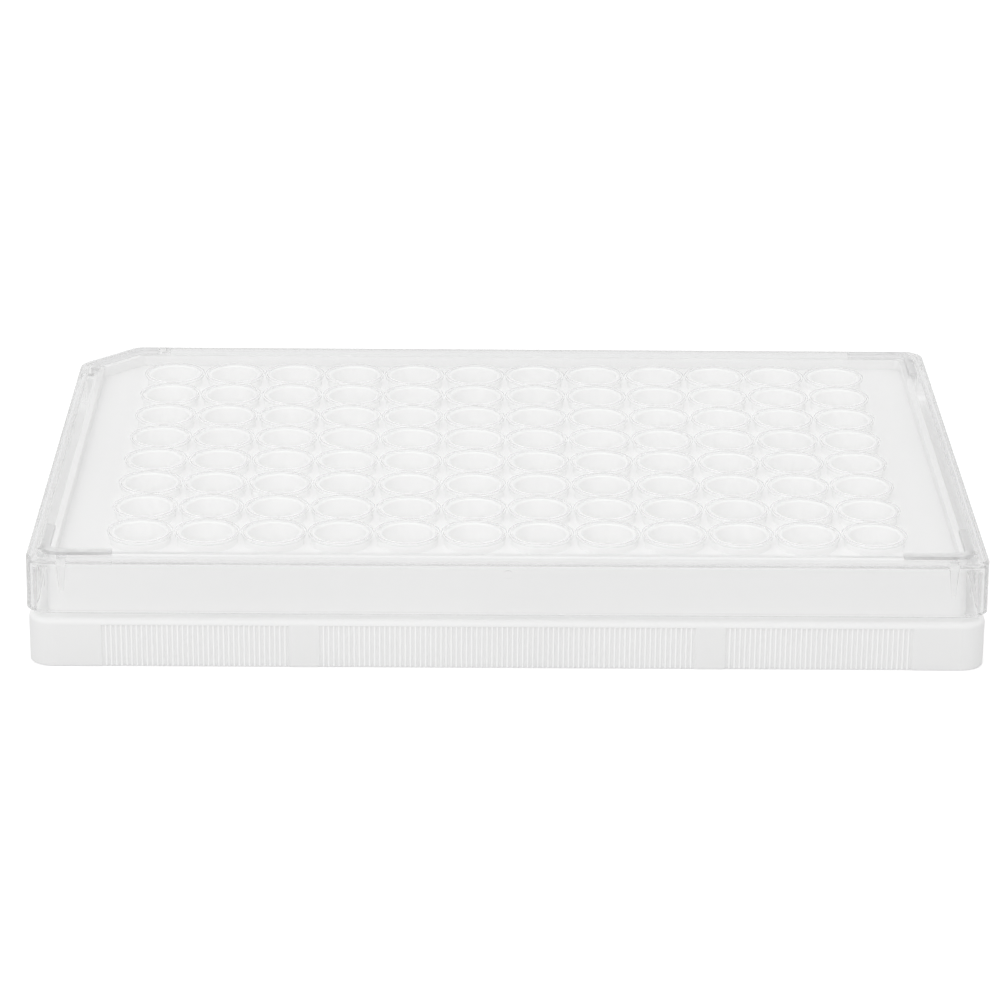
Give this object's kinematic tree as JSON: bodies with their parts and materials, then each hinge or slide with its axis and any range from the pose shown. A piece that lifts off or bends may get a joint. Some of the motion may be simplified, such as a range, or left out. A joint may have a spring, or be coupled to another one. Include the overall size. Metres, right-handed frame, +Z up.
{
  "type": "microplate with lid",
  "caption": "Flat rectangular white laboratory well plate with a grid of open tube wells on a fluted base flange, under a clear lid with one cut corner.",
  "frame": {"origin": "centre of the footprint, on the surface the plate stands on", "axes": "+X along the twelve columns from column 1 to column 12, +Y towards row A, +Z up through the lid"},
  "size_m": [0.128, 0.0858, 0.0157],
  "materials": {
    "white_polystyrene": "satin moulded, opaque white",
    "clear_polystyrene": "polished, clear"
  },
  "bodies": {
    "root": {"plate": "white_polystyrene", "lid": "clear_polystyrene"}
  },
  "joints": []
}
